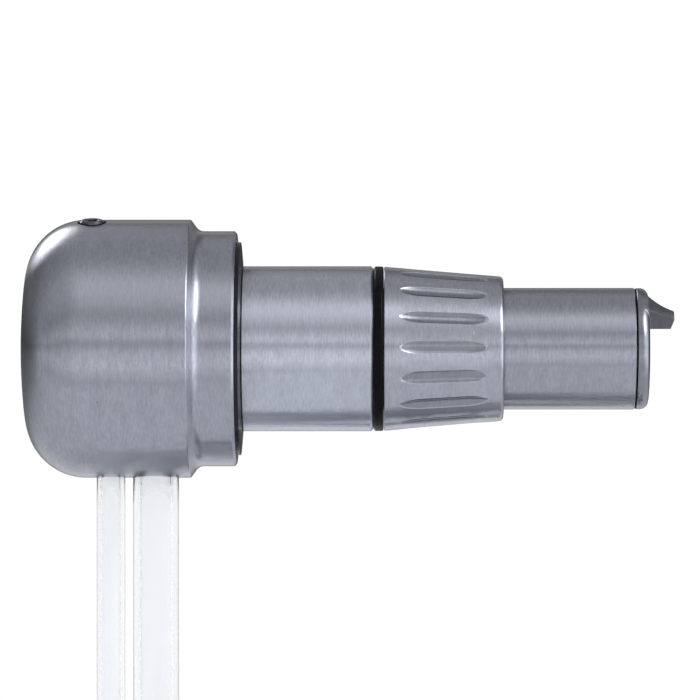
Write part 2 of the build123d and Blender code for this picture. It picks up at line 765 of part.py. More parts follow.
def supply_nut():
    body = turned((0, 1.95), (7.5, 1.95), (7.5, 3.9), (2.5, 3.9), (1.0, 3.1), (0, 3.1))
    hexagon = RegularPolygon(3.6, 6, major_radius=False)
    flats = Pos(5.0, 0, 0) * Rot(0, 90, 0) * extrude(hexagon, 2.5, both=True)
    body = body & (flats + rod(-1, 2.5, 5))
    return Pos(COIL_X + 0.6, PLUG_Y, PLUG_Z) * body


def supply_plug():
    """Quick-connect nipple, threaded into the nut, with a latch groove near its tip."""
    outline = [
        (7.5, 1.2),
        (26.0, 1.2),
        (26.0, 2.1),
        (25.6, 2.5),
        (22.0, 2.5),
        (21.2, 1.9),
        (20.0, 1.9),
        (19.2, 3.0),
        (11.0, 3.0),
        (10.4, 3.9),
        (7.5, 3.9),
    ]
    return turned_piece(outline, Pos(COIL_X + 0.6, PLUG_Y, PLUG_Z))


def silencer_place():
    return Pos(SILENCER_X, COIL_Y - 6.7, SILENCER_Z) * Rot(0, 0, -90)


def silencer_barb():
    outline = [
        (-6.0, 1.5),
        (6.0, 1.5),
        (6.0, 5.2),
        (1.5, 5.2),
        (1.0, 4.7),
        (0.3, 4.7),
        (0.3, 1.95),
        (-1.8, 1.95),
        (-3.0, 2.15),
        (-3.0, 1.95),
        (-4.8, 1.95),
        (-6.0, 1.7),
    ]
    hexagon = RegularPolygon(4.7, 6, major_radius=False)
    flats = Pos(3.7, 0, 0) * Rot(0, 90, 0) * extrude(hexagon, 2.4, both=True)
    body = turned(*outline) & (flats + rod(-8, 1.4, 5.5))
    return silencer_place() * body


def silencer_cap():
    outline = [
        (6.0, 0),
        (6.0, 4.3),
        (7.2, 4.9),
        (21.0, 4.9),
        (23.4, 4.0),
        (24.6, 2.4),
        (25.0, 0),
    ]
    return turned_piece(outline, silencer_place())


# ---------------------------------------------------------------- assembly
def assembly():
    pieces = {
        "head_shell": head_shell(),
        "hose_manifold": hose_manifold(),
        "set_screw": set_screw(),
        "supply_barb": barb(SUPPLY_X, SUPPLY),
        "exhaust_barb": barb(EXHAUST_X, EXHAUST),
        "front_thrust_washer": tube_along_x(MANIFOLD_X[1], MANIFOLD_X[1] + 0.4, 6.2, 13.5),
        "rear_thrust_washer": tube_along_x(MANIFOLD_X[0] - 0.45, MANIFOLD_X[0], 6.1, 9.5),
        "supply_hose": hose_tube("supply_hose", SUPPLY_ROUTE, SUPPLY),
        "exhaust_hose": hose_tube("exhaust_hose", EXHAUST_ROUTE, EXHAUST),
        "supply_coil": coil(SUPPLY_COIL_Z, COILS_TOP_Z, SUPPLY_COIL_R, SUPPLY_PITCH),
        "exhaust_coil": coil(EXHAUST_COIL_Z, SUPPLY_COIL_Z, EXHAUST_COIL_R, EXHAUST_PITCH),
        "supply_tail": hose_tube("supply_tail", SUPPLY_TAIL, SUPPLY),
        "exhaust_tail": hose_tube("exhaust_tail", EXHAUST_TAIL, EXHAUST),
        "supply_nut": supply_nut(),
        "supply_plug": supply_plug(),
        "silencer_barb": silencer_barb(),
        "silencer_cap": silencer_cap(),
        "coil_ties": coil_ties(),
        "swivel_stem": swivel_stem(),
        "stem_circlip": split_ring(*STEM_CLIP_X, *STEM_CLIP_R, 2.4, 180),
        "stem_o_rings": stem_o_rings(),
        "dust_seal": o_ring(DUST_SEAL_X, DUST_SEAL_R, DUST_SEAL_WIRE),
        "barrel": barrel(),
        "barrel_o_ring": barrel_o_ring(),
        "nozzle_ring": nozzle_ring(),
        "turbine_liner": tube_along_x(NOZZLE_FRONT_X, LINER_FRONT_X, 8.6, BARREL_BORE_R - SEAT),
        "quill": quill(),
        "nose_sleeve": nose_sleeve(),
        "collar_circlip": split_ring(CIRCLIP_X[0], CIRCLIP_X[1], 7.75, 8.6, 2.0, 200),
        "preload_washer": tube_along_x(STEM_FRONT_X, REAR_BEARING_X, 3.9, 4.45),
        "rear_bearing_outer": race(REAR_BEARING_X, LAND_OUTER_R, BEARING_OUTER_R),
        "front_bearing_outer": race(FRONT_BEARING_X, LAND_OUTER_R, BEARING_OUTER_R),
        "bearing_cap": bearing_cap(),
        "grip_collar": grip_collar(),
        "lock_sleeve": lock_sleeve(),
        "lock_keys": lock_keys(),
        "lock_ring": lock_ring(),
        "lock_seal": lock_seal(),
        "lock_spring": lock_spring(),
        "spindle": spindle(),
        "drive_pin": drive_pin(),
        "turbine_wheel": turbine_wheel(),
        "spindle_spacer": tube_along_x(WHEEL_X[1], FRONT_BEARING_X, BEARING_BORE_R, 2.6),
        "spindle_nut": spindle_nut(),
        "rear_bearing_inner": race(REAR_BEARING_X, BEARING_BORE_R, LAND_INNER_R),
        "front_bearing_inner": race(FRONT_BEARING_X, BEARING_BORE_R, LAND_INNER_R),
        "rear_bearing_balls": balls(REAR_BEARING_X),
        "rear_bearing_cage": ball_cage(REAR_BEARING_X),
        "front_bearing_balls": balls(FRONT_BEARING_X),
        "front_bearing_cage": ball_cage(FRONT_BEARING_X),
    }
    return pieces


os.makedirs("parts", exist_ok=True)
for node, solid in assembly().items():
    export_step(solid, f"parts/{node}.step")
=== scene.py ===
"""Looks of a straight air handpiece and its two clear hoses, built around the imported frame.

Every length here is in metres, and MM turns millimetres into metres. +X runs along the handpiece
towards its nose and +Z is up. The origin is on the handpiece's axis, in the middle of its head.
"""

import math

import bpy
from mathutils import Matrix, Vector


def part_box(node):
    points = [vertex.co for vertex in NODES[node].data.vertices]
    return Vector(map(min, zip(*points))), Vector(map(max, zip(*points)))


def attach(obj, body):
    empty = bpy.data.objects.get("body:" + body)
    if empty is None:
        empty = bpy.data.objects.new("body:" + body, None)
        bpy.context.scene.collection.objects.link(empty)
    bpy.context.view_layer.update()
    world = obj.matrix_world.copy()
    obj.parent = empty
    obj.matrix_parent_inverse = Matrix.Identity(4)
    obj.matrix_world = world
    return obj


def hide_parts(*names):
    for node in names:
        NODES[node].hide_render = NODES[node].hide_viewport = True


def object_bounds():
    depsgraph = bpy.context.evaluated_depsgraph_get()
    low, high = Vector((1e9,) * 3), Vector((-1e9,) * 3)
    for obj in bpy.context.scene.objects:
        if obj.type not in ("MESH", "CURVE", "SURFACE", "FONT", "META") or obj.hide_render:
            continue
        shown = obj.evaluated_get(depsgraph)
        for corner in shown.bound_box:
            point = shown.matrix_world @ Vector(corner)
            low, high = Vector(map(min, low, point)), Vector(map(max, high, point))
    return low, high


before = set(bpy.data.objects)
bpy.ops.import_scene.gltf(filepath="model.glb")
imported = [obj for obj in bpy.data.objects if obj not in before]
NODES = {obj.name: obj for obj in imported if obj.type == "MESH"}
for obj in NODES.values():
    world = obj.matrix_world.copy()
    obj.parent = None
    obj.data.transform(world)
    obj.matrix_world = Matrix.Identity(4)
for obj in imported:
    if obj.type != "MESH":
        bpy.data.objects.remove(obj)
cad_low, cad_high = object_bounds()

MM = 0.001

# ---- where things are ----
COIL_LOW, COIL_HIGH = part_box("exhaust_coil")
SUPPLY_LOW, SUPPLY_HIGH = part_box("supply_coil")
COIL_X = (COIL_LOW.x + COIL_HIGH.x) / 2
COIL_Y = (COIL_LOW.y + COIL_HIGH.y) / 2
FLOOR_Z = cad_low.z


# ---------------------------------------------------------------- camera
VIEW_TARGET = Vector((28.43, 0.0, -0.17)) * MM
VIEW_DISTANCE = 632 * MM
VIEW_YAW = math.radians(0.6)
VIEW_WIDTH = 93.33 * MM


def add_camera():
    """Camera level with the handpiece, far off and almost square to it."""
    data = bpy.data.cameras.new("camera")
    data.lens = data.sensor_width * VIEW_DISTANCE / VIEW_WIDTH
    data.clip_start = 0.01
    data.clip_end = 20
    camera = bpy.data.objects.new("camera", data)
    bpy.context.scene.collection.objects.link(camera)
    back = Vector((math.sin(VIEW_YAW), -math.cos(VIEW_YAW), 0))
    camera.location = VIEW_TARGET + back * VIEW_DISTANCE
    camera.rotation_euler = back.to_track_quat("Z", "Y").to_euler()
    bpy.context.scene.camera = camera


# ---------------------------------------------------------------- shader helpers
class Shader:
    """A material's node tree with a Principled shader, built a node at a time."""

    def __init__(self, name):
        self.material = bpy.data.materials.new(name)
        self.material.use_nodes = True
        self.tree = self.material.node_tree
        self.surface = self.tree.nodes["Principled BSDF"]

    def add(self, kind, **settings):
        node = self.tree.nodes.new("ShaderNode" + kind)
        for name, value in settings.items():
            setattr(node, name, value)
        return node

    def link(self, source, target):
        self.tree.links.new(source, target)

    def set(self, **values):
        """Sets the Principled shader's sockets; underscores stand for spaces."""
        for name, value in values.items():
            self.surface.inputs[name.replace("_", " ")].default_value = value

    def object_noise(self, scale, detail=2.0, roughness=0.5):
        """Noise over object coordinates, stretched by a scale for each axis."""
        place = self.add("TexCoord")
        mapping = self.add("Mapping")
        mapping.inputs["Scale"].default_value = scale
        noise = self.add("TexNoise")
        noise.inputs["Scale"].default_value = 1.0
        noise.inputs["Detail"].default_value = detail
        noise.inputs["Roughness"].default_value = roughness
        self.link(place.outputs["Object"], mapping.inputs["Vector"])
        self.link(mapping.outputs["Vector"], noise.inputs["Vector"])
        return noise.outputs["Fac"]

    def object_axes(self):
        """The object's own x, y and z, in metres."""
        place = self.add("TexCoord")
        split = self.add("SeparateXYZ")
        self.link(place.outputs["Object"], split.inputs["Vector"])
        return [split.outputs[name] for name in "XYZ"]

    def dim_colour(self, colour, share):
        """Uses a share of the colour as the base colour."""
        dimmed = self.add("VectorMath", operation="SCALE")
        self.link(colour, dimmed.inputs[0])
        self.link(share, dimmed.inputs["Scale"])
        self.link(dimmed.outputs["Vector"], self.surface.inputs["Base Color"])

    def remap(self, value, low, high, source=(0.3, 0.7)):
        """Spreads a value from its source range to low..high."""
        node = self.add("MapRange")
        self.link(value, node.inputs["Value"])
        for socket, number in zip(("From Min", "From Max", "To Min", "To Max"), (*source, low, high)):
            node.inputs[socket].default_value = number
        return node.outputs["Result"]

    def math(self, operation, first, second):
        node = self.add("Math", operation=operation)
        for socket, value in zip(node.inputs, (first, second)):
            if isinstance(value, (int, float)):
                socket.default_value = value
            else:
                self.link(value, socket)
        return node.outputs["Value"]

    def blend(self, factor, first, second):
        """Colour between two colours."""
        node = self.add("Mix", data_type="RGBA")
        self.link(factor, node.inputs["Factor"])
        node.inputs[6].default_value = (*first, 1)
        node.inputs[7].default_value = (*second, 1)
        return node.outputs[2]

    def bump(self, height, depth, strength=1.0):
        node = self.add("Bump")
        node.inputs["Strength"].default_value = strength
        node.inputs["Distance"].default_value = depth
        self.link(height, node.inputs["Height"])
        self.link(node.outputs["Normal"], self.surface.inputs["Normal"])


def tinted(level, tint):
    return tuple(level * share for share in tint)


# ---------------------------------------------------------------- metals
STEEL_TINT = (1.0, 1.05, 1.22)
STREAKS_PER_M = 4600
GRAIN_PER_M = 900
QUARTER_TURN = 0.25


def turned_shader(name, level, axis="X", roughness=0.24, anisotropy=0.93, grain=0.24, tint=STEEL_TINT):
    """Metal finished in a lathe: fine lines run round the axis and stretch each glint along it."""
    shader = Shader(name)
    along = "XYZ".index(axis)
    lines = [GRAIN_PER_M] * 3
    lines[along] = STREAKS_PER_M
    fine = shader.object_noise(lines, detail=3, roughness=0.75)
    broad = shader.object_noise([part * 0.18 for part in lines], detail=1)
    both = shader.math("ADD", shader.math("MULTIPLY", fine, 0.8), shader.math("MULTIPLY", broad, 0.2))
    dark = tinted(level * (1 - grain), tint)
    light = tinted(level * (1 + grain), tint)
    shader.colour = shader.blend(shader.remap(both, 0, 1, (0.25, 0.75)), dark, light)
    shader.link(shader.colour, shader.surface.inputs["Base Color"])
    rough = shader.remap(both, roughness + 0.04, roughness - 0.04)
    shader.link(rough, shader.surface.inputs["Roughness"])
    shader.set(Metallic=1.0, Anisotropic=anisotropy, Anisotropic_Rotation=QUARTER_TURN)
    tangent = shader.add("Tangent", direction_type="RADIAL", axis=axis)
    shader.link(tangent.outputs["Tangent"], shader.surface.inputs["Tangent"])
    shader.bump(both, 0.005 * MM, 0.6)
    return shader


def turned_metal(*values, **settings):
    return turned_shader(*values, **settings).material


COLLAR_REAR_R = 10.93 * MM
COLLAR_FRONT_R = 9.6 * MM
# Depths under the cone where the painted highlight on the rim starts and is full, and where the painted
# shade on the floor starts and is full.
FLUTE_PAINTED_LIGHT_DEPTHS = (0.05 * MM, 0.056 * MM, 0.06 * MM, 0.09 * MM)
FLOOR_PAINTED_SHADE = 0.32
RIM_PAINTED_HIGHLIGHT = 0.3


def fluted_metal(name, level):
    """Turned cone whose milled flutes have painted shade on their floors, darker than the ridges, and a
    painted highlight along thin rims.
    """
    shader = turned_shader(name, level)
    low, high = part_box("grip_collar")
    taper = (COLLAR_REAR_R - COLLAR_FRONT_R) / (high.x - low.x)
    x, y, z = shader.object_axes()
    across = shader.math("ADD", shader.math("MULTIPLY", y, y), shader.math("MULTIPLY", z, z))
    radius = shader.math("SQRT", across, 0)
    cone = shader.math("ADD", shader.math("MULTIPLY", x, -taper), COLLAR_REAR_R + low.x * taper)
    depth = shader.math("SUBTRACT", cone, radius)
    start, bright, fall, floor = FLUTE_PAINTED_LIGHT_DEPTHS
    rise = shader.remap(depth, 0, 1, (start, bright))
    floor_shade_mask = shader.remap(depth, 0, 1, (fall, floor))
    # Painted highlight on the flute rims and painted shade on the flute floors, as shares of the colour.
    rim = shader.math("SUBTRACT", rise, floor_shade_mask)
    share = shader.math("SUBTRACT", 1, shader.math("MULTIPLY", floor_shade_mask, FLOOR_PAINTED_SHADE))
    share = shader.math("ADD", share, shader.math("MULTIPLY", rim, RIM_PAINTED_HIGHLIGHT))
    shader.dim_colour(shader.colour, share)
    return shader.material


def polished_metal(name, level, roughness=0.16, tint=STEEL_TINT):
    """Bright or dark polished metal with faint handling marks."""
    shader = Shader(name)
    marks = shader.object_noise((900, 900, 900), detail=4)
    colour = shader.blend(
        shader.remap(marks, 0, 1), tinted(level * 0.93, tint), tinted(level * 1.05, tint)
    )
    shader.link(colour, shader.surface.inputs["Base Color"])
    shader.link(shader.remap(marks, roughness * 0.8, roughness * 1.3), shader.surface.inputs["Roughness"])
    shader.set(Metallic=1.0)
    shader.bump(marks, 0.003 * MM, 0.4)
    return shader.material


EDGE_R = 0.25 * MM
LUG_PAINTED_SHADE_SHARE = 0.5
RING_BODY = 1.55 * MM
HOOK_SHADE_FADE = 0.2 * MM


def lock_ring_metal():
    """Dark ring whose hook is made darker still by painted shade, with glints along its eased edges."""
    shader = Shader("lock_ring_steel")
    ring_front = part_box("lock_sleeve")[1].x + RING_BODY
    # Painted shade: past the ring's front, the hook keeps only a share of the ring's colour.
    hook = shader.remap(shader.object_axes()[0], 0, 1, (ring_front - HOOK_SHADE_FADE, ring_front))
    marks = shader.object_noise((1200, 1200, 1200), detail=4)
    ring = shader.blend(shader.remap(marks, 0, 1), tinted(0.22, STEEL_TINT), tinted(0.26, STEEL_TINT))
    share = shader.math("SUBTRACT", 1, shader.math("MULTIPLY", hook, 1 - LUG_PAINTED_SHADE_SHARE))
    shader.dim_colour(ring, share)
    shader.link(shader.remap(marks, 0.18, 0.26), shader.surface.inputs["Roughness"])
    shader.set(Metallic=1.0)
    edges = shader.add("Bevel", samples=8)
    edges.inputs["Radius"].default_value = EDGE_R
    shader.link(edges.outputs["Normal"], shader.surface.inputs["Normal"])
    return shader.material


def sintered_bronze():
    """Porous bronze: grains about a quarter of a millimetre across, pressed together."""
    shader = Shader("sintered_bronze")
    place = shader.add("TexCoord")
    grains = shader.add("TexVoronoi")
    grains.inputs["Scale"].default_value = 4200
    shader.link(place.outputs["Object"], grains.inputs["Vector"])
    gap = shader.remap(grains.outputs["Distance"], 1, 0, (0.1, 0.75))
    tarnish = shader.object_noise((260, 260, 260), detail=3)
    warm = shader.blend(shader.remap(tarnish, 0, 1), (0.46, 0.29, 0.13), (0.6, 0.42, 0.2))
    # Painted shade in the pores: the colour darkens in the gaps between grains.
    painted_pore_shade = shader.add("Mix", data_type="RGBA", blend_type="MULTIPLY")
    painted_pore_shade.inputs["Factor"].default_value = 0.75
    shader.link(warm, painted_pore_shade.inputs[6])
    shader.link(gap, painted_pore_shade.inputs[7])
    shader.link(painted_pore_shade.outputs[2], shader.surface.inputs["Base Color"])
    shader.set(Metallic=1.0, Roughness=0.48)
    shader.bump(gap, 0.05 * MM, 0.8)
    return shader.material


# ---------------------------------------------------------------- rubber, plastics and cloth
def black_rubber():
    shader = Shader("black_rubber")
    skin = shader.object_noise((1500, 1500, 1500), detail=4)
    colour = shader.blend(shader.remap(skin, 0, 1), (0.001, 0.001, 0.0015), (0.004, 0.004, 0.005))
    shader.link(colour, shader.surface.inputs["Base Color"])
    shader.link(shader.remap(skin, 0.3, 0.45), shader.surface.inputs["Roughness"])
    shader.set(Specular_IOR_Level=0.07)
    shader.bump(skin, 0.008 * MM, 0.5)
    return shader.material


def moulded_plastic(name, first, second, roughness=0.45):
    shader = Shader(name)
    skin = shader.object_noise((800, 800, 800), detail=3)
    shader.link(shader.blend(shader.remap(skin, 0, 1), first, second), shader.surface.inputs["Base Color"])
    shader.link(shader.remap(skin, roughness - 0.06, roughness + 0.08), shader.surface.inputs["Roughness"])
    shader.bump(skin, 0.006 * MM, 0.5)
    return shader.material


def clear_hose_material():
    """Soft clear tubing, a little milky, with a faint cloudiness in its wall."""
    shader = Shader("clear_hose")
    haze = shader.object_noise((500, 500, 90), detail=2)
    colour = shader.blend(shader.remap(haze, 0, 1), (0.89, 0.9, 0.92), (0.92, 0.93, 0.945))
    shader.link(colour, shader.surface.inputs["Base Color"])
    shader.link(shader.remap(haze, 0.05, 0.1), shader.surface.inputs["Roughness"])
    shader.set(IOR=1.22, Transmission_Weight=0.96)
    shader.bump(haze, 0.01 * MM, 0.25)
    return shader.material


def woven_strap():
    """Black hook-and-loop strap: woven ribs about 1 mm apart under a short nap."""
    shader = Shader("woven_strap")
    place = shader.add("TexCoord")
    rows = []
    for direction in ("X", "Y", "Z"):
        wave = shader.add("TexWave", bands_direction=direction)
        wave.inputs["Scale"].default_value = 320
        wave.inputs["Distortion"].default_value = 1.2
        wave.inputs["Detail"].default_value = 1
        shader.link(place.outputs["Object"], wave.inputs["Vector"])
        rows.append(wave.outputs["Fac"])
    weave = shader.math("MULTIPLY", shader.math("MAXIMUM", rows[0], rows[1]), rows[2])
    nap = shader.object_noise((4000, 4000, 4000), detail=3)
    height = shader.math("ADD", weave, shader.math("MULTIPLY", nap, 0.6))
    # Painted shade in the weave: over black yarn, the colour darkens where the ribs and nap sink.
    colour = shader.blend(shader.remap(height, 0, 1, (0.2, 1.3)), (0.008, 0.008, 0.010), (0.05, 0.05, 0.056))
    shader.link(colour, shader.surface.inputs["Base Color"])
    shader.set(Roughness=0.85, Sheen_Weight=0.3)
    shader.bump(height, 0.12 * MM, 0.9)
    return shader.material


# ---------------------------------------------------------------- hoses
EXHAUST = {"name": "exhaust_hose_run", "outer": 3.05 * MM, "inner": 2.0 * MM, "length": 1.40}
SUPPLY = {"name": "supply_hose_run", "outer": 1.9 * MM, "inner": 1.2 * MM, "length": 1.45}
STEPS_PER_TURN = 16
EXHAUST_PITCH = 6.2 * MM
SUPPLY_PITCH = 3.9 * MM
EXHAUST_COIL_R = (22.2 * MM, 40.8 * MM)
SUPPLY_COIL_R = (19.0 * MM, 26.8 * MM)
EXHAUST_LAYER_Z = COIL_LOW.z + EXHAUST_PITCH / 2
SUPPLY_LAYER_Z = SUPPLY_LOW.z + SUPPLY_PITCH / 2
COILS_TOP_Z = SUPPLY_HIGH.z

EXHAUST_HANG = [
    (2.55, 0.0, -10.0),
    (2.55, 0.0, -48.2),
    (2.55, 3.5, -67.9),
    (2.55, 14.4, -83.3),
    (2.55, 31.6, -91.2),
]
SUPPLY_HANG = [
    (-3.45, 0.0, -10.0),
    (-3.45, 0.0, -47.5),
    (-3.6, 2.6, -62.5),
    (-3.8, 10.6, -73.6),
    (-3.6, 22.6, -79.85),
    (-1.0, 36.5, -79.85),
    (6.8, 49.6, -79.85),
    (18.6, 60.6, -79.85),
    (33.4, 67.1, -79.95),
]
EXHAUST_TAIL = [
    (61.85, 78.4, -83.4),
    (74.85, 65.6, -78.3),
    (79.85, 49.6, -76.6),
    (79.85, 34.0, -76.6),
]
SUPPLY_TAIL = [
    (19.45, 53.2, -66.9),
    (28.15, 60.6, -64.1),
    (39.15, 62.0, -62.2),
    (50.35, 62.0, -62.2),
]


def metres(points):
    return [Vector(point) * MM for point in points]


def winding(start_deg, legs):
    """Control points of a coil wound clockwise seen from above.

    Each leg is (turns, radius at its start and end, height at its start and end).
    """
    half_step = math.pi / STEPS_PER_TURN
    points = []
    angle = math.radians(start_deg)
    for turns, radii, heights in legs:
        steps = round(turns * STEPS_PER_TURN)
        for step in range(steps):
            share = step / steps
            radius = (radii[0] + (radii[1] - radii[0]) * share) / math.cos(half_step)
            height = heights[0] + (heights[1] - heights[0]) * share
            around = angle - 2 * half_step * step
            points.append(Vector((
                COIL_X + radius * math.cos(around),
                COIL_Y + radius * math.sin(around),
                height,
            )))
        angle -= 2 * math.pi * turns
    return points


def exhaust_points():
    inner, outer = EXHAUST_COIL_R
    low = EXHAUST_LAYER_Z
    high = low + EXHAUST_PITCH
    coil = winding(180, [
        (3, (outer, inner), (low, low)),
        (0.25, (inner, inner), (low, high)),
        (3, (inner, outer), (high, high)),
    ])
    return metres(EXHAUST_HANG) + coil + metres(EXHAUST_TAIL)


def supply_points():
    inner, outer = SUPPLY_COIL_R
    layer = [SUPPLY_LAYER_Z + n * SUPPLY_PITCH for n in range(4)]
    coil = winding(90, [
        (2, (outer, inner), (layer[0], layer[0])),
        (0.25, (inner, inner), (layer[0], layer[1])),
        (2, (inner, outer), (layer[1], layer[1])),
        (0.25, (outer, outer), (layer[1], layer[2])),
        (2, (outer, inner), (layer[2], layer[2])),
        (0.25, (inner, inner), (layer[2], layer[3])),
        (2, (inner, outer), (layer[3], layer[3])),
    ])
    return metres(SUPPLY_HANG) + coil + metres(SUPPLY_TAIL)


def add_hose(hose, points, material):
    """Hollow tube along one smooth spline."""
    curve = bpy.data.curves.new(hose["name"], "CURVE")
    curve.dimensions = "3D"
    curve.resolution_u = 6
    curve.bevel_depth = hose["outer"]
    curve.bevel_resolution = 10
    spline = curve.splines.new("NURBS")
    spline.points.add(len(points) - 1)
    for point, place in zip(spline.points, points):
        point.co = (*place, 1)
    spline.order_u = 3
    spline.use_endpoint_u = True
    curve.materials.append(material)
    tube = bpy.data.objects.new(hose["name"], curve)
    tube.visible_shadow = False
    bpy.context.scene.collection.objects.link(tube)
    wall = tube.modifiers.new("wall", "SOLIDIFY")
    wall.thickness = hose["outer"] - hose["inner"]
    wall.offset = -1
    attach(tube, "head")
    return tube


def add_hoses(material, straps):
    exhaust = add_hose(EXHAUST, exhaust_points(), material)
    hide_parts("exhaust_hose", "exhaust_coil", "exhaust_tail")
    supply = add_hose(SUPPLY, supply_points(), material)
    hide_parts("supply_hose", "supply_coil", "supply_tail")


# ---------------------------------------------------------------- straps round the coils
STRAP_ANGLES = (-75, -135)
STRAP_WIDTH = 8.0 * MM
STRAP_THICKNESS = 0.6 * MM
STRAP_CORNER_R = 1.6 * MM
STRAP_GAP = 0.1 * MM
STRAP_INNER_GAP = 0.8 * MM
STRAP_UPPER_GAP = 0.2 * MM
STRAP_LOWER_GAP = 0.05 * MM
# Where the free end starts and stops, as shares of the loop counted backwards.
TONGUE = (0.06, 0.36)
TONGUE_LIFT = 1.02 * STRAP_THICKNESS
CORNER_STEPS = 8
RIM_STEPS = 20
RIM_POWERS = (0.35, 0.6)


def rounded_loop(corners, radius, spacing):
    """Evenly spaced points round a polygon whose corners are eased."""
    points = []
    count = len(corners)
    for n, corner in enumerate(corners):
        before = (corners[n - 1] - corner).normalized()
        after = (corners[(n + 1) % count] - corner).normalized()
        start, end = corner + before * radius, corner + after * radius
        for step in range(CORNER_STEPS + 1):
            share = step / CORNER_STEPS
            points.append(start.lerp(corner, share).lerp(corner.lerp(end, share), share))
        following = corners[(n + 1) % count] - after * radius
        steps = max(2, round((following - end).length / spacing))
        points += [end.lerp(following, step / steps) for step in range(1, steps)]
    return points


def strap_loop():
    """Middle line of a strap, as (distance from the coils' axis, height)."""
    half = STRAP_THICKNESS / 2
    inner = SUPPLY_COIL_R[0] - SUPPLY_PITCH / 2 - STRAP_INNER_GAP - half
    outer = EXHAUST_COIL_R[1] + EXHAUST_PITCH / 2 + STRAP_GAP + half
    step_r = SUPPLY_COIL_R[1] + SUPPLY_PITCH / 2 + STRAP_GAP + half
    low = COIL_LOW.z - STRAP_LOWER_GAP - half
    ledge = SUPPLY_LOW.z + STRAP_UPPER_GAP + half
    top = COILS_TOP_Z + STRAP_UPPER_GAP + half
    corners = [(inner, low), (outer, low), (outer, ledge), (step_r, top), (inner, top)]
    return rounded_loop([Vector(corner) for corner in corners], STRAP_CORNER_R, 1.0 * MM)


def rim_point(turn):
    """Cross-section of the strap: flat, with rounded edges."""
    across, out = math.cos(turn), math.sin(turn)
    return (
        math.copysign(abs(across) ** RIM_POWERS[0], across) * STRAP_WIDTH / 2,
        math.copysign(abs(out) ** RIM_POWERS[1], out) * STRAP_THICKNESS / 2,
    )


def strap_band(verts, faces, path, closed, lift, angle):
    """Adds one layer of strap along a path of (distance, height) points."""
    turn = math.radians(angle)
    outward = Vector((math.cos(turn), math.sin(turn), 0))
    sideways = Vector((-math.sin(turn), math.cos(turn), 0))
    middle = Vector((COIL_X, COIL_Y, 0))
    first = len(verts)
    count = len(path)
    for n, point in enumerate(path):
        before = path[n - 1] if closed or n else point
        after = path[(n + 1) % count] if closed or n < count - 1 else point
        along = (after - before).normalized()
        normal = Vector((along.y, -along.x))
        taper = 1.0
        if not closed:
            taper = min(1.0, 0.35 + 0.65 * math.sqrt(max(0, min(n, count - 1 - n)) / 3))
        for step in range(RIM_STEPS):
            across, out = rim_point(2 * math.pi * step / RIM_STEPS)
            place = point + normal * (out + lift)
            verts.append(middle + outward * place.x + sideways * across * taper + Vector((0, 0, place.y)))
    for n in range(count if closed else count - 1):
        for step in range(RIM_STEPS):
            after = (step + 1) % RIM_STEPS
            here, there = first + n * RIM_STEPS, first + (n + 1) % count * RIM_STEPS
            faces.append((here + step, here + after, there + after, there + step))
    if not closed:
        last = first + (count - 1) * RIM_STEPS
        faces.append([first + step for step in range(RIM_STEPS)][::-1])
        faces.append([last + step for step in range(RIM_STEPS)])


def add_straps(material):
    """Two straps, each with its free end laid over the loop."""
    verts, faces = [], []
    loop = strap_loop()
    start, end = (round(share * len(loop)) for share in TONGUE)
    tongue = loop[len(loop) - end:len(loop) - start]
    for angle in STRAP_ANGLES:
        strap_band(verts, faces, loop, True, 0, angle)
        strap_band(verts, faces, tongue, False, TONGUE_LIFT, angle)
    mesh = bpy.data.meshes.new("coil_straps")
    mesh.from_pydata(verts, [], faces)
    mesh.materials.append(material)
    for polygon in mesh.polygons:
        polygon.use_smooth = True
    straps = bpy.data.objects.new("coil_straps", mesh)
    bpy.context.scene.collection.objects.link(straps)
    straps.visible_glossy = False
    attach(straps, "head")
    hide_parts("coil_ties")
    return straps


